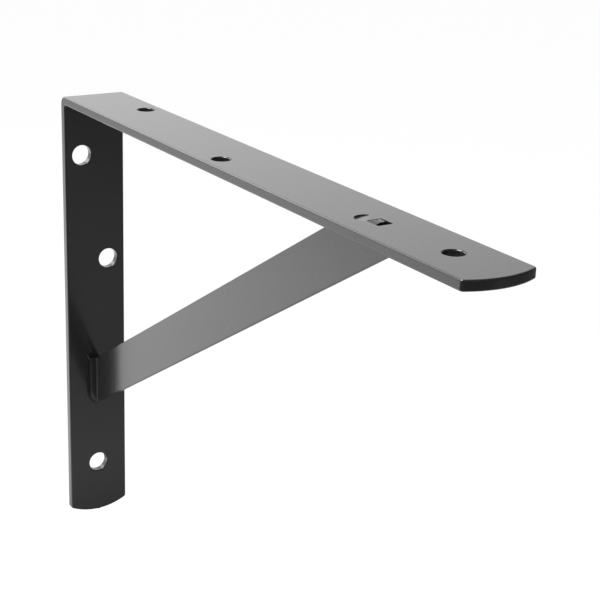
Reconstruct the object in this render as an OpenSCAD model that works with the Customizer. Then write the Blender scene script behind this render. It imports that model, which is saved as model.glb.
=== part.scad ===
// Fixed shelf bracket: a flat bar folded into two legs, propped by a diagonal strut.
// The wall leg stands against the plane X = 0 and the shelf leg reaches out along +X.
// The origin lies on that plane, mid-way across the bar and level with the top wall hole.
// The modules draw from the corner where the wall plane meets the shelf plane, and shelf_corner() moves
// what they draw up to its place.

/* [Folded bar] */
// Reach of the shelf leg, from the wall plane to the crown of its end
shelf_reach = 305; // [280:1:380]
// Drop of the wall leg, from the shelf plane to the crown of its end
wall_drop = 215; // [205:1:300]
// Width of the flat bar
bar_w = 30; // [26:0.5:45]
// Thickness of the flat bar
bar_t = 4; // [3:0.25:6]
// Inside radius of the fold between the legs
fold_r_in = 1; // [0.5:0.1:3]
// Radius on the long edges of the bar
edge_r = 0.7; // [0.2:0.05:0.9]
// Height of the crown of each end over its corners
end_rise = 3.7; // [2:0.1:6]
// Radius on the corners of each end
end_corner_r = 1.5; // [0.5:0.1:3]

/* [Wall leg holes] */
// Diameter of the wall screw holes
wall_hole_d = 9.5; // [5:0.1:10]
// Depth of the top wall hole below the shelf plane
wall_hole_top = 28.5; // [20:0.5:40]
// Depth of the middle wall hole below the shelf plane
wall_hole_middle = 81; // [60:0.5:110]
// Height of the bottom wall hole above the crown of the leg's end
wall_hole_bottom = 26.5; // [15:0.5:35]
// How far the upper wall holes stand to either side of the middle of the bar
wall_hole_stagger = 6.5; // [0:0.1:7.5]

/* [Shelf leg holes] */
// Diameter of the shelf screw holes
shelf_hole_d = 7.5; // [3:0.1:9]
// Distance of the back shelf hole from the wall plane
shelf_hole_back = 44; // [20:0.1:80]
// Distance of the middle shelf hole from the wall plane
shelf_hole_middle = 138; // [100:0.5:180]
// Distance of the front shelf hole from the crown of the leg's end
shelf_hole_front = 27; // [12:0.5:30]
// How far the two rear shelf holes stand to either side of the middle of the bar
shelf_hole_stagger = 7.1; // [0:0.1:8]

/* [Strut] */
// Width of the strip
strut_w = 20.3; // [15:0.1:26]
// Thickness of the strip
strut_t = 3; // [2:0.1:4]
// Depth below the shelf plane at which the strut's middle line meets the wall leg
strut_wall_z = 144; // [135:0.5:150]
// Distance from the wall plane at which the strut's middle line meets the shelf leg
strut_shelf_x = 235.5; // [205:0.5:240]
// How far each foot reaches sideways, from the middle of the strip
foot_reach = 4.6; // [4:0.1:7]
// Radius on the lower corner of each foot
foot_corner_r = 4.5; // [1:0.1:5]
// Radius on the upper corner of each foot
foot_tip_r = 1; // [0.2:0.1:1.5]
// Outside radius of each foot's fold
foot_fold_r_out = 1.4; // [0.5:0.1:2]
// Inside radius of each foot's fold
foot_fold_r_in = 0.6; // [0.2:0.1:1]

/* [Tongue joint] */
// Length of the punched slot, along the leg
slot_l = 7.4; // [6:0.1:12]
// How far the middle of the slot lies beyond the strut's middle line, away from the fold
slot_shift = 3; // [0:0.1:3.5]
// Clearance between the tongue and the slot, at its sides and its near end
slot_gap = 0.2; // [0.05:0.01:0.4]
// Length of the tongue, along the leg
tongue_l = 3.4; // [3:0.1:5]
// Depth of the tongue's top below the outer face of the leg
tongue_set = 0.25; // [0.1:0.05:1]
// Width of the slope that the hammer leaves along one side of the tongue
tongue_slope_w = 2.6; // [0.5:0.1:3]
// Drop of that slope at the tongue's side
tongue_slope_drop = 1.4; // [0.2:0.1:2]
// Diameter of the punch that marks the leg beside the slot
punch_d = 9; // [5:0.1:12]
// How far the middle of the punch mark lies to the side of the middle of the bar
punch_side = 2.5; // [0:0.1:3]
// Depth of the punch mark at its far side
punch_depth = 0.6; // [0.3:0.1:2]
// How far the mark runs over the tongue
punch_lap = 2; // [0:0.1:3]

/* [Hidden] */
$fn = 96;
steel_black = [0.13, 0.13, 0.135];
strut_black = [0.17, 0.17, 0.175];

// Amount by which a cut runs past the face that it opens through, and past a long edge
over = 1;
edge_over = 0.2;

// The bar keeps its thickness round the fold
fold_r_out = fold_r_in + bar_t;

// Radius of the arc that the ends are cut to, and the place of its corner fillets
end_r = (pow(end_rise, 2) + pow(bar_w / 2, 2)) / (2 * end_rise);
corner_y = bar_w / 2 - end_corner_r;
corner_back = end_r - sqrt(pow(end_r - end_corner_r, 2) - pow(corner_y, 2));
tangent_y = corner_y * end_r / (end_r - end_corner_r);

// The strut's middle line runs between the inner faces of the legs
strut_run = strut_shelf_x - bar_t;
strut_climb = strut_wall_z - bar_t;
strut_angle = atan2(strut_climb, strut_run);
foot_wall_half = strut_w / cos(strut_angle) / 2;
foot_shelf_half = strut_w / sin(strut_angle) / 2;

// The slot and the tongue take the whole width of a foot, sideways
slot_w = foot_reach + strut_t / 2 + 2 * slot_gap;
slot_y = (strut_t / 2 - foot_reach) / 2;
tongue_h = bar_t - tongue_set;
punch_tilt = atan2(punch_depth, punch_d);

// Moves what is drawn from the shelf corner to its place over the origin
module shelf_corner() {
    translate([0, 0, wall_hole_top]) children();
}

// Outline of a leg seen square on: it starts at the fold and ends in a shallow arc
module leg_outline(length) {
    corner_x = length - corner_back;
    translate([0, -bar_w / 2]) square([corner_x, bar_w]);
    intersection() {
        translate([length - end_r, 0]) circle(r = end_r);
        translate([0, -tangent_y]) square([length + over, 2 * tangent_y]);
    }
    for (side = [-1, 1])
        translate([corner_x, side * corner_y]) circle(r = end_corner_r);
}

// The bar seen from the side: two legs with the fold's outer and inner radius
module bar_profile() {
    translate([0, -wall_drop]) square([bar_t, wall_drop - fold_r_out]);
    translate([fold_r_out, -bar_t]) square([shelf_reach - fold_r_out, bar_t]);
    intersection() {
        translate([0, -fold_r_out]) square(fold_r_out);
        translate([fold_r_out, -fold_r_out]) difference() {
            circle(r = fold_r_out);
            circle(r = fold_r_in);
        }
    }
}

// Puts its child, drawn lying on the shelf plane along +X, onto the wall plane, running down
module on_wall_leg() {
    mirror([1, 0, 1]) children();
}

// The two legs' outlines, thick enough to take in the whole profile
module leg_envelope(length) {
    depth = fold_r_out + over;
    translate([0, 0, -depth]) linear_extrude(depth) leg_outline(length);
}

// What an eased edge takes off the bar's section, with the sharp corner at the drawing's origin
module edge_section() {
    translate([-edge_r, -edge_r]) difference() {
        square(edge_r + edge_over);
        circle(r = edge_r);
    }
}

// Eased long edges of the shelf leg, on one side of the bar
module leg_edges() {
    translate([fold_r_out, bar_w / 2, 0]) rotate([90, 0, 90])
        linear_extrude(shelf_reach + wall_drop) edge_section();
    translate([fold_r_out, bar_w / 2, -bar_t]) rotate([90, 0, 90])
        linear_extrude(shelf_reach + wall_drop) mirror([0, 1]) edge_section();
}

// The same edges where they run round the fold
module fold_edges() {
    translate([fold_r_out, 0, -fold_r_out]) rotate([-90, 0, 0]) rotate([0, 0, 180])
        rotate_extrude(angle = 90) {
            translate([fold_r_out, bar_w / 2]) edge_section();
            translate([fold_r_in, bar_w / 2]) mirror([1, 0]) edge_section();
        }
}

module long_edges() {
    for (side = [0, 1]) mirror([0, side, 0]) {
        leg_edges();
        on_wall_leg() leg_edges();
        fold_edges();
    }
}

module screw_hole(along, across, diameter) {
    translate([along, across, -bar_t - over]) cylinder(h = bar_t + 2 * over, d = diameter);
}

// Where the slot of a leg starts, on the side of the fold
function slot_start(along) = along + slot_shift - slot_l / 2;

// Punched slot, with the slanting mark of the round punch that closed it on the tongue
module tongue_slot(along) {
    start = slot_start(along);
    translate([start, slot_y - slot_w / 2, -bar_t - over]) cube([slot_l, slot_w, bar_t + 2 * over]);
    translate([start + punch_lap, -punch_side, 0]) rotate([0, -punch_tilt, 0])
        translate([-punch_d / 2, 0, 0]) cylinder(h = bar_t, d = punch_d);
}

module folded_bar() {
    color(steel_black) shelf_corner() difference() {
        intersection() {
            rotate([90, 0, 0]) linear_extrude(bar_w, center = true) bar_profile();
            union() {
                leg_envelope(shelf_reach);
                on_wall_leg() leg_envelope(wall_drop);
            }
        }
        long_edges();
        screw_hole(shelf_hole_back, shelf_hole_stagger, shelf_hole_d);
        screw_hole(shelf_hole_middle, -shelf_hole_stagger, shelf_hole_d);
        screw_hole(shelf_reach - shelf_hole_front, 0, shelf_hole_d);
        tongue_slot(strut_shelf_x);
        on_wall_leg() {
            screw_hole(wall_hole_top, -wall_hole_stagger, wall_hole_d);
            screw_hole(wall_hole_middle, wall_hole_stagger, wall_hole_d);
            screw_hole(wall_drop - wall_hole_bottom, 0, wall_hole_d);
            tongue_slot(strut_wall_z);
        }
    }
}

// Section of a foot, seen along the leg: the strip turned sideways, its outer edge rounded by the fold.
// The first axis runs across the bar and the second one away from the leg.
module foot_section() {
    fold_y = strut_t / 2 - foot_fold_r_out;
    translate([-foot_reach, 0]) square([foot_reach + fold_y, strut_t]);
    translate([fold_y, foot_fold_r_out]) square([foot_fold_r_out, strut_t - foot_fold_r_out]);
    translate([fold_y, foot_fold_r_out]) circle(r = foot_fold_r_out);
}

// Section of the small hollow corner inside the fold
module fold_fillet_section() {
    translate([-strut_t / 2 - foot_fold_r_in, strut_t]) difference() {
        translate([0, -over]) square([foot_fold_r_in + over, foot_fold_r_in + over]);
        translate([0, foot_fold_r_in]) circle(r = foot_fold_r_in);
    }
}

// Section of what the outer radius of the fold takes off the strip
module fold_round_section() {
    translate([strut_t / 2 - foot_fold_r_out, 0]) difference() {
        translate([0, -over]) square([foot_fold_r_out + over, foot_fold_r_out + over]);
        translate([0, foot_fold_r_out]) circle(r = foot_fold_r_out);
    }
}

// Runs a section along the underside of the shelf leg, to both sides of a place on it
module along_leg(along, before, after) {
    translate([along - before, 0, -bar_t]) rotate([-90, 0, -90]) mirror([1, 0, 0])
        linear_extrude(before + after) children();
}

// What a rounded corner takes off a section that fills the first quadrant
module corner_cut(radius) {
    difference() {
        translate([-over, -over]) square(radius + over);
        translate([radius, radius]) circle(r = radius);
    }
}

// Section across the feet, square to the strip, with their corners rounded
module band_section() {
    difference() {
        translate([-foot_reach, -strut_w / 2]) square([foot_reach + strut_t / 2, strut_w]);
        translate([-foot_reach, -strut_w / 2]) corner_cut(foot_corner_r);
        translate([-foot_reach, strut_w / 2]) mirror([0, 1]) corner_cut(foot_tip_r);
    }
}

// The band that both feet are cut from: it runs along the strip and past both of its ends
module feet_band() {
    extra = foot_shelf_half + foot_wall_half;
    translate([bar_t, 0, -strut_wall_z]) rotate([0, -strut_angle, 0]) translate([-extra, 0, 0])
        rotate([90, 0, 90]) linear_extrude(strut_run / cos(strut_angle) + 2 * extra) band_section();
}

// Tongue that stands in the slot from its near end on, with the hammered slope along one side
module tongue(along) {
    root = -strut_t / 2;
    translate([slot_start(along) + slot_gap, 0, -bar_t]) rotate([90, 0, 90]) linear_extrude(tongue_l) polygon([
        [-foot_reach, root],
        [strut_t / 2, root],
        [strut_t / 2, tongue_h],
        [tongue_slope_w - foot_reach, tongue_h],
        [-foot_reach, tongue_h - tongue_slope_drop]
    ]);
}

// The strip's outline seen from the side: its ends are cut along the two legs
module strip_side() {
    polygon([
        [bar_t, -strut_wall_z - foot_wall_half],
        [strut_shelf_x + foot_shelf_half, -bar_t],
        [strut_shelf_x - foot_shelf_half, -bar_t],
        [bar_t, -strut_wall_z + foot_wall_half]
    ]);
}

module strip(thickness) {
    rotate([90, 0, 0]) linear_extrude(thickness, center = true) strip_side();
}

module diagonal_strut() {
    reach = foot_shelf_half + foot_wall_half;
    color(strut_black) shelf_corner() {
        difference() {
            strip(strut_t);
            along_leg(strut_shelf_x, reach, reach) fold_round_section();
            on_wall_leg() along_leg(strut_wall_z, reach, reach) fold_round_section();
        }
        intersection() {
            strip(strut_t + 2 * foot_fold_r_in);
            union() {
                along_leg(strut_shelf_x, reach, reach) fold_fillet_section();
                on_wall_leg() along_leg(strut_wall_z, reach, reach) fold_fillet_section();
            }
        }
        intersection() {
            feet_band();
            union() {
                along_leg(strut_shelf_x, reach, reach) foot_section();
                on_wall_leg() along_leg(strut_wall_z, reach, reach) foot_section();
            }
        }
        tongue(strut_shelf_x);
        on_wall_leg() tongue(strut_wall_z);
    }
}

folded_bar();
diagonal_strut();
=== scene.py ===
from math import asin, atan2, cos, pi, radians, sin

import bmesh
import bpy
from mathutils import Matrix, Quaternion, Vector


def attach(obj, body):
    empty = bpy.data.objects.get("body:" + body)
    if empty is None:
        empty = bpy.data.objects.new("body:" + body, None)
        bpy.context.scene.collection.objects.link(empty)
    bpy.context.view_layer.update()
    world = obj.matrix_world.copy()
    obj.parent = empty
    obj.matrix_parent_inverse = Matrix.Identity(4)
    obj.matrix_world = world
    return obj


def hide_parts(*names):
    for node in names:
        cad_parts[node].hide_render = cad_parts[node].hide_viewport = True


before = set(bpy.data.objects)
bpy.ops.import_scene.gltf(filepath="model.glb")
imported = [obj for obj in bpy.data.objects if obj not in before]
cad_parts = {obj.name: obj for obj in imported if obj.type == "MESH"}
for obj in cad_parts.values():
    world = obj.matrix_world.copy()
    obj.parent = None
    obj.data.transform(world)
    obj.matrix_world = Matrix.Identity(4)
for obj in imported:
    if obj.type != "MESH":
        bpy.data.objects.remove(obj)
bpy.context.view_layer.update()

# ---------------------------------------------------------------- folded bar
# One length of flat steel bar, 30 x 4 mm, folded once into the wall leg and the shelf leg. Its ends are
# sheared to a shallow arc, its screw holes and the strut's slots are punched, and it is powder-coated black.
# The tools are made for the shelf leg, whose outer face is at z = 0, and turned over for the wall leg.
MM = 0.001
SHELF_REACH, WALL_DROP = 305 * MM, 215 * MM
BAR_W, BAR_T = 30 * MM, 4 * MM
SHELF_Z = 28.5 * MM
FOLD_OUT, FOLD_IN = 5 * MM, 1 * MM
END_R, END_SIDES, END_BACK, CORNER_R = 32.26 * MM, 140, 4.7 * MM, 1.5 * MM
EDGE_R, HOLE_EDGE_R = 0.7 * MM, 0.6 * MM
WALL_HOLE_R, SHELF_HOLE_R = 4.75 * MM, 3.75 * MM
SLOT_L, SLOT_W, SLOT_Y = 7.4 * MM, 6.4 * MM, -1.45 * MM
SLOT_SHIFT, SLOT_CORNER_R = 3 * MM, 0.5 * MM
PUNCH_R, PUNCH_DEPTH, PUNCH_RIM, PUNCH_LAP, PUNCH_SIDE = 4.5 * MM, 0.16 * MM, 0.15 * MM, 2 * MM, 2.5 * MM
PUNCH_TILT_X, PUNCH_TILT_Y = 0.0943, 0.0906
SHELF_HOLES = ((44 * MM, 7.1 * MM), (138 * MM, -7.1 * MM), (278 * MM, 0))
WALL_HOLES = ((28.5 * MM, -6.5 * MM), (81 * MM, 6.5 * MM), (188.5 * MM, 0))
STRUT_SHELF_X, STRUT_WALL_Z = 235.5 * MM, 144 * MM
FLAT_TURN = 0.5
NEAR = 0.02 * MM


def near(a, b):
    return abs(a - b) < NEAR


def pick(piece, kind, test):
    """Opens a piece in edit mode, with just the faces, edges or points selected that the test picks."""
    bpy.context.view_layer.objects.active = piece
    bpy.ops.object.mode_set(mode="EDIT")
    bpy.ops.mesh.select_mode(type=kind)
    bpy.ops.mesh.select_all(action="DESELECT")
    shape = bmesh.from_edit_mesh(piece.data)
    for part in {"FACE": shape.faces, "EDGE": shape.edges, "VERT": shape.verts}[kind]:
        if test(part):
            part.select_set(True)
    bmesh.update_edit_mesh(piece.data)


def close(piece):
    bpy.ops.object.mode_set(mode="OBJECT")
    return piece


def add_block(name, low, high):
    """A box between two corners, with its place in its mesh."""
    bpy.ops.object.select_all(action="DESELECT")
    low, high = Vector(low), Vector(high)
    bpy.ops.mesh.primitive_cube_add(size=1, location=(low + high) / 2, scale=high - low)
    bpy.ops.object.transform_apply()
    bpy.context.object.name = name
    return bpy.context.object


def put(piece, location, rotation=(0, 0, 0)):
    """Moves a finished shape to its place and puts that place in its mesh."""
    bpy.ops.object.select_all(action="DESELECT")
    piece.select_set(True)
    bpy.context.view_layer.objects.active = piece
    piece.location, piece.rotation_euler = location, rotation
    bpy.ops.object.transform_apply()
    return piece


def combine(piece, tool, operation="DIFFERENCE"):
    """Cuts the tool out of the piece, joins it on, or keeps what they share, and takes the tool away."""
    bpy.context.view_layer.objects.active = piece
    step = piece.modifiers.new("combine", "BOOLEAN")
    step.object, step.operation, step.solver = tool, operation, "EXACT"
    bpy.ops.object.modifier_apply(modifier=step.name)
    bpy.data.objects.remove(tool)
    return piece


def onto_wall(piece):
    """Turns over what was made for the shelf leg, to its mirror image on the wall leg."""
    bpy.ops.object.select_all(action="DESELECT")
    piece.select_set(True)
    bpy.context.view_layer.objects.active = piece
    piece.scale, piece.rotation_euler = (1, 1, -1), (0, pi / 2, 0)
    bpy.ops.object.transform_apply()
    pick(piece, "FACE", lambda f: True)
    bpy.ops.mesh.normals_make_consistent(inside=False)
    return close(piece)


def end_waste(along):
    """What the shear takes off a leg that ends there: a slab less the rounded end, whose arc has its crown in
    the middle of the bar. Its corners turn less than a right angle, so their bevel is under their radius."""
    middle = -BAR_T / 2
    blank = add_block("end_blank", (along - 40 * MM, -BAR_W / 2, middle - 2 * BAR_T),
                      (along + 5 * MM, BAR_W / 2, middle + 2 * BAR_T))
    bpy.ops.mesh.primitive_cylinder_add(vertices=END_SIDES, radius=END_R, depth=5 * BAR_T,
                                        location=(along - END_R, 0, middle))
    bpy.ops.object.transform_apply()
    combine(blank, bpy.context.object, "INTERSECT")
    pick(blank, "EDGE", lambda e: abs((e.verts[0].co - e.verts[1].co).z) > MM
         and all(near(abs(v.co.y), BAR_W / 2) and v.co.x > along - 10 * MM for v in e.verts))
    bpy.ops.mesh.bevel(offset=0.6 * CORNER_R, segments=6, clamp_overlap=False)
    close(blank)
    waste = add_block("end_waste", (along - END_BACK, -20 * MM, middle - 1.5 * BAR_T),
                      (along + 3 * MM, 20 * MM, middle + 1.5 * BAR_T))
    return combine(waste, blank)


def hole_punch(radius, along, side):
    """A punch through the bar that flares at both faces, for the rolled edge that powder coat leaves."""
    bpy.ops.object.select_all(action="DESELECT")
    bpy.ops.mesh.primitive_cylinder_add(vertices=96, radius=radius, depth=BAR_T - 2 * HOLE_EDGE_R)
    punch = bpy.context.object
    turns = [radians(15 * i) for i in range(6)]
    for way in (1, -1):
        pick(punch, "FACE", lambda f: f.normal.z * way > 0.9)
        for a, b in zip(turns, turns[1:]):
            rise = HOLE_EDGE_R * (sin(b) - sin(a))
            grown = (radius + HOLE_EDGE_R * (1 - cos(b))) / (radius + HOLE_EDGE_R * (1 - cos(a)))
            bpy.ops.mesh.extrude_region_move(TRANSFORM_OT_translate={"value": (0, 0, way * rise)})
            bpy.ops.transform.resize(value=(grown, grown, 1), center_override=(0, 0, 0))
        bpy.ops.mesh.extrude_region_move(TRANSFORM_OT_translate={"value": (0, 0, way * MM)})
        close(punch)
    return put(punch, (along, side, -BAR_T / 2))


def slot_punch(along):
    """The oblong punch for a slot, with its corners just rounded."""
    start = along + SLOT_SHIFT - SLOT_L / 2
    punch = add_block("slot_punch", (start, SLOT_Y - SLOT_W / 2, -2 * BAR_T),
                      (start + SLOT_L, SLOT_Y + SLOT_W / 2, BAR_T))
    pick(punch, "EDGE", lambda e: abs((e.verts[0].co - e.verts[1].co).z) > MM)
    bpy.ops.mesh.bevel(offset=SLOT_CORNER_R, segments=3)
    return close(punch)


def stake_punch(along):
    """The round punch that marks the bar beside a slot, with a softened rim. It stands tilted, so its mark has
    a slanting floor, deepest towards the fold and the near edge, that runs out towards the tongue."""
    bpy.ops.object.select_all(action="DESELECT")
    bpy.ops.mesh.primitive_cylinder_add(vertices=96, radius=PUNCH_R, depth=BAR_T,
                                        location=(0, 0, BAR_T / 2))
    punch = bpy.context.object
    bpy.ops.object.transform_apply()
    pick(punch, "EDGE", lambda e: all(near(v.co.z, 0) for v in e.verts))
    bpy.ops.mesh.bevel(offset=PUNCH_RIM, segments=3)
    close(punch)
    floor_normal = Vector((-PUNCH_TILT_X, -PUNCH_TILT_Y, 1)).normalized()
    turn = Vector((0, 0, 1)).rotation_difference(floor_normal).to_euler()
    middle = along + SLOT_SHIFT - SLOT_L / 2 + PUNCH_LAP - PUNCH_R
    return put(punch, (middle, -PUNCH_SIDE, -PUNCH_DEPTH), turn)


def smooth(piece, angle=32):
    """Shades the rounded edges smooth and keeps the flats flat."""
    bpy.ops.object.select_all(action="DESELECT")
    piece.select_set(True)
    bpy.context.view_layer.objects.active = piece
    bpy.ops.object.shade_smooth_by_angle(angle=radians(angle))
    step = piece.modifiers.new("even", "WEIGHTED_NORMAL")
    step.keep_sharp, step.weight = True, 100
    bpy.ops.object.modifier_apply(modifier=step.name)
    return piece


# Both legs grow from a block at the fold, which is then rounded inside and out
bar = add_block("folded_bar_coated", (0, -BAR_W / 2, -BAR_T), (BAR_T, BAR_W / 2, 0))
pick(bar, "FACE", lambda f: f.normal.x > 0.9)
bpy.ops.mesh.extrude_region_move(TRANSFORM_OT_translate={"value": (SHELF_REACH - BAR_T, 0, 0)})
pick(bar, "FACE", lambda f: f.normal.z < -0.9 and f.calc_center_median().x < BAR_T)
bpy.ops.mesh.extrude_region_move(TRANSFORM_OT_translate={"value": (0, 0, BAR_T - WALL_DROP)})
pick(bar, "EDGE", lambda e: all(near(v.co.x, 0) and near(v.co.z, 0) for v in e.verts))
bpy.ops.mesh.bevel(offset=FOLD_OUT, segments=16)
pick(bar, "EDGE", lambda e: all(near(v.co.x, BAR_T) and near(v.co.z, -BAR_T) for v in e.verts))
bpy.ops.mesh.bevel(offset=FOLD_IN, segments=6)
close(bar)
# The ends are sheared, and the rim of the whole outline is rounded
combine(bar, end_waste(SHELF_REACH))
combine(bar, onto_wall(end_waste(WALL_DROP)))
pick(bar, "FACE", lambda f: True)
bpy.ops.mesh.dissolve_limited(angle_limit=radians(FLAT_TURN))
pick(bar, "EDGE", lambda e: sum(abs(f.normal.y) < 0.01 for f in e.link_faces) == 1)
bpy.ops.mesh.bevel(offset=EDGE_R, segments=5, clamp_overlap=False)
close(bar)
# The holes, the slots and their marks are punched from the outer faces
for along, side in SHELF_HOLES:
    combine(bar, hole_punch(SHELF_HOLE_R, along, side))
for along, side in WALL_HOLES:
    combine(bar, onto_wall(hole_punch(WALL_HOLE_R, along, side)))
for tool in (slot_punch, stake_punch):
    combine(bar, tool(STRUT_SHELF_X))
    combine(bar, onto_wall(tool(STRUT_WALL_Z)))
put(bar, (0, 0, SHELF_Z))
smooth(bar)
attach(bar, "root")
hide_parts("folded_bar")


def linear(text):
    """An sRGB hex colour as Blender's linear colour."""
    parts = [int(text[i:i + 2], 16) / 255 for i in (0, 2, 4)]
    return [p / 12.92 if p <= 0.04045 else ((p + 0.055) / 1.055) ** 2.4 for p in parts] + [1]


def add_node(tree, kind, settings=None, links=None):
    """A node with its settings, and its inputs, by name or number, fed by a value or by another node."""
    made = tree.nodes.new(kind)
    for name, value in (settings or {}).items():
        setattr(made, name, value)
    for name, value in (links or {}).items():
        if isinstance(value, bpy.types.NodeSocket):
            tree.links.new(value, made.inputs[name])
        else:
            made.inputs[name].default_value = value
    return made


def black_powder_coat(name):
    """Satin black powder coat on steel, baked to a smooth film about 0.08 mm thick. It gives the eye a dark
    face that mirrors its surroundings softly, with a faint orange peel of 1.4 mm, a grain of 0.2 mm that
    varies its gloss, and clouds of 22 mm in its black. Each pattern's scale is in waves per millimetre."""
    coat = bpy.data.materials.new(name)
    coat.use_nodes = True
    tree = coat.node_tree
    tree.nodes.clear()
    place = add_node(tree, "ShaderNodeTexCoord").outputs["Object"]
    peel = add_node(tree, "ShaderNodeTexNoise", links={
        "Vector": place, "Scale": 0.7 / MM, "Detail": 2.0, "Roughness": 0.4})
    grain = add_node(tree, "ShaderNodeTexNoise", links={"Vector": place, "Scale": 4.5 / MM, "Detail": 2.0})
    cloud = add_node(tree, "ShaderNodeTexNoise", links={"Vector": place, "Scale": 0.045 / MM, "Detail": 3.0})
    tint = add_node(tree, "ShaderNodeMix", {"data_type": "RGBA"}, {
        "Factor": cloud.outputs["Fac"], 6: linear("252526"), 7: linear("2a2a2c")})
    rough = add_node(tree, "ShaderNodeMapRange", links={
        "Value": grain.outputs["Fac"], "From Min": 0.3, "From Max": 0.7, "To Min": 0.25, "To Max": 0.31})
    bump = add_node(tree, "ShaderNodeBump", links={
        "Strength": 0.05, "Distance": 0.2 * MM, "Height": peel.outputs["Fac"]})
    film = add_node(tree, "ShaderNodeBsdfPrincipled", links={
        "Base Color": tint.outputs[2], "Roughness": rough.outputs["Result"], "Normal": bump.outputs["Normal"],
        "IOR": 1.5, "Coat Weight": 1.0, "Coat Roughness": 0.16, "Coat IOR": 1.5})
    add_node(tree, "ShaderNodeOutputMaterial", links={"Surface": film.outputs["BSDF"]})
    return coat


bar.data.materials.clear()
bar.data.materials.append(black_powder_coat("bar_black_powder_coat"))

# ------------------------------------------------------------ diagonal strut
# A strip of flat steel, 20 x 3 mm, set on edge between the legs. Each end is turned sideways into a short foot
# that lies on the leg, and a tongue on the foot stands in the leg's slot and is hammered down flush.
STRUT_W, STRUT_T = 20.3 * MM, 3 * MM
FOOT_REACH, FOOT_CORNER_R, FOOT_TIP_R = 4.75 * MM, 4 * MM, 1 * MM
FOOT_FOLD_OUT, FOOT_FOLD_IN = 1.4 * MM, 0.6 * MM
STRUT_EDGE_R = 0.2 * MM
TONGUE_L, TONGUE_GAP, TONGUE_RIM = 3.5 * MM, 0.04 * MM, 0.25 * MM
# The hammered top, across the strip: place from its middle, drop at its near end, drop at its free end, in mm
TONGUE_TOP = ((1.5, 0.3, 0.35), (1.25, 0.08, 0.1), (0.9, 0.03, 0.03), (0.55, 0.12, 0.16),
              (0.1, 0.14, 0.24), (-0.35, 0.12, 0.22), (-0.7, 0.08, 0.05), (-1.1, 0.12, 0.28),
              (-2, 0.12, 0.55), (-3.2, 0.12, 1.1), (-4.55, 0.3, 1.6))
SLOPE = atan2(STRUT_WALL_Z - BAR_T, STRUT_SHELF_X - BAR_T)
SPARE, STRIP_L = 30 * MM, 330 * MM


def cut_square(piece, place, normal, clear):
    """Cuts a piece along a plane. What lies past it goes if asked, and the cut is closed."""
    pick(piece, "FACE", lambda f: True)
    bpy.ops.mesh.bisect(plane_co=place, plane_no=normal, use_fill=clear, clear_outer=clear)
    return close(piece)


def only(piece, kind, parts):
    """Leaves just these parts selected, in edit mode."""
    bpy.ops.mesh.select_mode(type=kind)
    bpy.ops.mesh.select_all(action="DESELECT")
    for part in parts:
        part.select_set(True)
    bmesh.update_edit_mesh(piece.data)


def turn_foot(piece, inside, lower_edge, rise):
    """Turns the end of the strip sideways into a foot, in short steps that round its lower corner. inside
    picks the face that the foot grows from, lower_edge the edge that climbs, and rise the way it climbs."""
    first = asin((FOOT_CORNER_R - FOOT_REACH + STRUT_T / 2) / FOOT_CORNER_R)
    steps = 9
    turns = [first + (pi / 2 - first) * i / steps for i in range(steps + 1)]
    pick(piece, "FACE", inside)
    for a, b in zip(turns, turns[1:]):
        reach = FOOT_CORNER_R * (sin(b) - sin(a))
        bpy.ops.mesh.extrude_region_move(TRANSFORM_OT_translate={"value": (0, -reach, 0)})
        shape = bmesh.from_edit_mesh(piece.data)
        front = [f for f in shape.faces if f.select]
        only(piece, "EDGE", [e for f in front for e in f.edges if lower_edge(e, f)])
        bpy.ops.transform.translate(value=tuple(rise * (FOOT_CORNER_R * (cos(a) - cos(b)))))
        only(piece, "FACE", front)
    return close(piece)


def tongue(along):
    """The tongue that stands in a slot. The hammer left it just below the leg's face, with two low ridges, and
    sloping down to its free end, most of all at its near side."""
    start = along + SLOT_SHIFT - SLOT_L / 2 + TONGUE_GAP
    root = 1.2 * MM
    piece = add_block("tongue", (start, TONGUE_TOP[-1][0] * MM, -BAR_T - root),
                      (start + TONGUE_L, TONGUE_TOP[0][0] * MM, 0))
    for side, drop, end_drop in TONGUE_TOP[1:-1]:
        cut_square(piece, (0, side * MM, 0), (0, 1, 0), False)
    for side, drop, end_drop in TONGUE_TOP:
        pick(piece, "EDGE", lambda e: all(near(v.co.y, side * MM) and near(v.co.z, 0) for v in e.verts))
        bpy.ops.transform.translate(value=(0, 0, -drop * MM))
        pick(piece, "VERT", lambda v: near(v.co.x, start + TONGUE_L) and near(v.co.y, side * MM)
             and v.co.z > -BAR_T)
        bpy.ops.transform.translate(value=(0, 0, (drop - end_drop) * MM))
        close(piece)
    pick(piece, "EDGE", lambda e: all(near(v.co.x, start + TONGUE_L) and v.co.z > -BAR_T / 2
                                      for v in e.verts))
    bpy.ops.mesh.bevel(offset=TONGUE_RIM, segments=2)
    return close(piece)


# The strip is longer than it needs to be, lies along the slope and is cut to the legs' inner faces
strut = add_block("diagonal_strut_coated", (-SPARE, -STRUT_T / 2, -STRUT_W / 2),
                  (STRIP_L - SPARE, STRUT_T / 2, STRUT_W / 2))
put(strut, (BAR_T, 0, -STRUT_WALL_Z), (0, -SLOPE, 0))
cut_square(strut, (BAR_T, 0, 0), (-1, 0, 0), True)
cut_square(strut, (0, 0, -BAR_T), (0, 0, 1), True)
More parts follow.
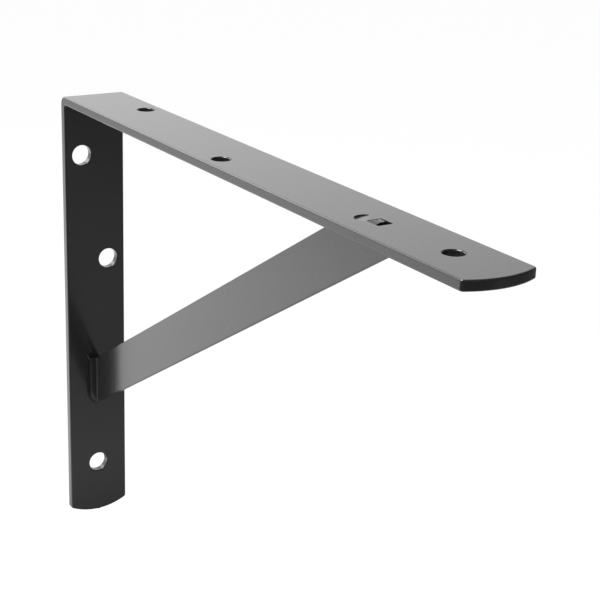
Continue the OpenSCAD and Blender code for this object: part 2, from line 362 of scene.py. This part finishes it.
# The foot of each end is turned out of the last 3 mm
cut_square(strut, (BAR_T + STRUT_T, 0, 0), (1, 0, 0), False)
cut_square(strut, (0, 0, -BAR_T - STRUT_T), (0, 0, 1), False)
turn_foot(strut, lambda f: f.normal.y < -0.9 and f.calc_center_median().x < BAR_T + STRUT_T,
          lambda e, f: sum(v.co.z for v in e.verts) / 2 < f.calc_center_median().z - MM
          and abs((e.verts[0].co - e.verts[1].co).x) > MM, Vector((0, 0, 1 / cos(SLOPE))))
turn_foot(strut, lambda f: f.normal.y < -0.9 and f.calc_center_median().z > -BAR_T - STRUT_T,
          lambda e, f: sum(v.co.x for v in e.verts) / 2 > f.calc_center_median().x + MM
          and abs((e.verts[0].co - e.verts[1].co).z) > MM, Vector((-1 / sin(SLOPE), 0, 0)))
# The feet's upper corners, the insides of their folds and the outsides of their folds are rounded
pick(strut, "FACE", lambda f: True)
bpy.ops.mesh.dissolve_limited(angle_limit=radians(FLAT_TURN))
upper = Vector((-sin(SLOPE), 0, cos(SLOPE)))
pick(strut, "EDGE", lambda e: all(near(v.co.y, -FOOT_REACH) for v in e.verts)
     and max(f.normal.dot(upper) for f in e.link_faces) > 0.98)
bpy.ops.mesh.bevel(offset=FOOT_TIP_R, segments=4)
pick(strut, "EDGE", lambda e: all(near(v.co.y, -STRUT_T / 2) for v in e.verts)
     and (all(near(v.co.x, BAR_T + STRUT_T) for v in e.verts)
          or all(near(v.co.z, -BAR_T - STRUT_T) for v in e.verts)))
bpy.ops.mesh.bevel(offset=FOOT_FOLD_IN, segments=3)
pick(strut, "EDGE", lambda e: all(near(v.co.y, STRUT_T / 2) for v in e.verts)
     and (all(near(v.co.x, BAR_T) for v in e.verts) or all(near(v.co.z, -BAR_T) for v in e.verts)))
bpy.ops.mesh.bevel(offset=FOOT_FOLD_OUT, segments=6)
bpy.ops.mesh.select_all(action="SELECT")
bpy.ops.mesh.remove_doubles(threshold=NEAR / 2)


def cut_side(f):
    """True for a face that the shear left: the strip's two narrow sides and the outline of its feet."""
    along = f.normal.dot(Vector((cos(SLOPE), 0, sin(SLOPE))))
    return abs(along) < 0.02 and (abs(f.normal.y) < 0.98 or f.calc_center_median().y < -FOOT_REACH + 0.2 * MM)


pick(strut, "EDGE", lambda e: sum(cut_side(f) for f in e.link_faces) == 1)
bpy.ops.mesh.bevel(offset=STRUT_EDGE_R, segments=3, clamp_overlap=False)
close(strut)
combine(strut, tongue(STRUT_SHELF_X), "UNION")
combine(strut, onto_wall(tongue(STRUT_WALL_Z)), "UNION")
put(strut, (0, 0, SHELF_Z))
smooth(strut)
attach(strut, "root")
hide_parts("diagonal_strut")
strut.data.materials.clear()
strut.data.materials.append(black_powder_coat("strut_black_powder_coat"))

# ------------------------------------------------------ studio and camera
# A pale floor under the bracket, in a white tent that is open towards the camera and to the right. Mirrored
# rays meet a painted reflection: the floor's glow for them falls off in soft steps, to a painted shadow under
# the bracket and to painted darkening towards the tent's open sides and far behind the wall leg. The camera
# stands where the photograph was taken from.
FLOOR_Z = SHELF_Z - WALL_DROP - 90 * MM
FLOOR_SIZE = 8
SEEN_WHITE, WHITE_SHARE = 1.06, 0.88
LAMP_SIZE, LAMP_AIM = 0.5, Vector((0.1, 0, -0.05))


def fall_off(tree, steps):
    """The product of soft steps: each is a value, where its step starts and ends, and its factors there."""
    product = 1
    for value, start, end, first, last in steps:
        step = add_node(tree, "ShaderNodeMapRange", {"interpolation_type": "SMOOTHSTEP"}, {
            "Value": value, "From Min": start, "From Max": end, "To Min": first, "To Max": last})
        joined = add_node(tree, "ShaderNodeMath", {"operation": "MULTIPLY"}, {
            0: product, 1: step.outputs["Result"]})
        product = joined.outputs["Value"]
    return product


bpy.ops.object.select_all(action="DESELECT")
bpy.ops.mesh.primitive_plane_add(size=FLOOR_SIZE, location=(0, 0, FLOOR_Z))
floor = bpy.context.object
floor.name = "floor"
bpy.ops.object.transform_apply()
paint = bpy.data.materials.new("matt_white_floor_paint")
paint.use_nodes = True
tree = paint.node_tree
tree.nodes.clear()
ray = add_node(tree, "ShaderNodeLightPath")
place = add_node(tree, "ShaderNodeTexCoord").outputs["Object"]
ground = add_node(tree, "ShaderNodeSeparateXYZ", links={"Vector": place})
east, north = ground.outputs["X"], ground.outputs["Y"]
forward = add_node(tree, "ShaderNodeVectorMath", {"operation": "DOT_PRODUCT"}, {
    0: place, 1: (0.6, -0.8, 0)})
# A painted shadow: the floor's glow for mirrored rays drops right under the bracket, where its shade would
# fall.
painted_shadow = fall_off(tree, ((east, -0.3, -0.15, 0, 1), (east, 0.1, 0.28, 1, 0),
                        (north, -0.13, -0.04, 0, 1), (north, 0.3, 0.45, 1, 0)))
# The glow that mirrored rays see is a painted reflection: it falls off towards the camera, towards the tent's
# open sides and far behind the wall leg, and is multiplied by the painted shadow under the bracket.
fall = fall_off(tree, ((east, -0.12, 0.4, 1.24, 0.22), (east, -1.6, -0.35, 0.56, 1),
                       (east, -0.48, -0.38, 1, 0.9), (painted_shadow, 0, 1, 1, 0.12),
                       (forward.outputs["Value"], 0.22, 0.5, 1, 0.15), (north, 0.35, 0.8, 1, 0.2)))
white = add_node(tree, "ShaderNodeMix", {"data_type": "FLOAT"}, {
    "Factor": ray.outputs["Is Camera Ray"], 2: fall, 3: SEEN_WHITE})
glow = add_node(tree, "ShaderNodeEmission", links={"Color": linear("ffffff"), "Strength": white.outputs[0]})
matt = add_node(tree, "ShaderNodeBsdfDiffuse", links={"Color": linear("f2f2f2")})
camera_or_glossy = add_node(tree, "ShaderNodeMath", {"operation": "MAXIMUM"}, {
    0: ray.outputs["Is Camera Ray"], 1: ray.outputs["Is Glossy Ray"]})
sees_white = add_node(tree, "ShaderNodeMath", {"operation": "MAXIMUM"}, {
    0: camera_or_glossy.outputs["Value"], 1: ray.outputs["Is Transmission Ray"]})
share = add_node(tree, "ShaderNodeMath", {"operation": "MULTIPLY"}, {
    0: sees_white.outputs["Value"], 1: WHITE_SHARE})
mixed = add_node(tree, "ShaderNodeMixShader", links={
    0: share.outputs["Value"], 1: matt.outputs["BSDF"], 2: glow.outputs["Emission"]})
add_node(tree, "ShaderNodeOutputMaterial", links={"Surface": mixed.outputs["Shader"]})
floor.data.materials.append(paint)

world = bpy.data.worlds.new("white_tent")
bpy.context.scene.world = world
world.use_nodes = True
tree = world.node_tree
tree.nodes.clear()
ray = add_node(tree, "ShaderNodeLightPath")
way = add_node(tree, "ShaderNodeSeparateXYZ", links={
    "Vector": add_node(tree, "ShaderNodeTexCoord").outputs["Generated"]})
fall = fall_off(tree, ((way.outputs["X"], -0.45, 0.25, 1, 0.12), (way.outputs["Y"], 0.2, 1.1, 1.02, 0.38)))
white = add_node(tree, "ShaderNodeMath", {"operation": "MAXIMUM"}, {0: ray.outputs["Is Camera Ray"], 1: fall})
sky = add_node(tree, "ShaderNodeBackground", links={
    "Color": linear("ffffff"), "Strength": white.outputs["Value"]})
add_node(tree, "ShaderNodeOutputWorld", links={"Surface": sky.outputs["Background"]})

for name, shape, place, watts in (("key_softbox", "SQUARE", (-0.6, -0.3, 0.42), 1.4),
                                  ("overhead_softbox", "DISK", (0.02, -0.4, 0.85), 8.5)):
    bpy.ops.object.light_add(type="AREA", location=place)
    lamp = bpy.context.object
    lamp.name = name
    lamp.data.shape, lamp.data.size, lamp.data.energy = shape, LAMP_SIZE, watts
    lamp.rotation_euler = (LAMP_AIM - lamp.location).to_track_quat("-Z", "Y").to_euler()

AZIMUTH, ELEVATION, ROLL = radians(32.739), radians(19.182), radians(1.971)
TARGET, DISTANCE = Vector((0.187747, 0, SHELF_Z - 0.044235)), 0.565965
FOCAL_PIXELS, FRAME_PIXELS, SENSOR = 1495.237, 600, 36
back = Vector((cos(AZIMUTH) * cos(ELEVATION), -sin(AZIMUTH) * cos(ELEVATION), sin(ELEVATION)))
bpy.ops.object.camera_add(location=TARGET + back * DISTANCE)
camera = bpy.context.object
camera.rotation_mode = "QUATERNION"
camera.rotation_quaternion = back.to_track_quat("Z", "Y") @ Quaternion((0, 0, 1), ROLL)
camera.data.sensor_width, camera.data.lens = SENSOR, FOCAL_PIXELS / FRAME_PIXELS * SENSOR
camera.data.clip_start, camera.data.clip_end = 0.01, 20
bpy.context.scene.camera = camera
bpy.context.scene.view_settings.view_transform = "Standard"
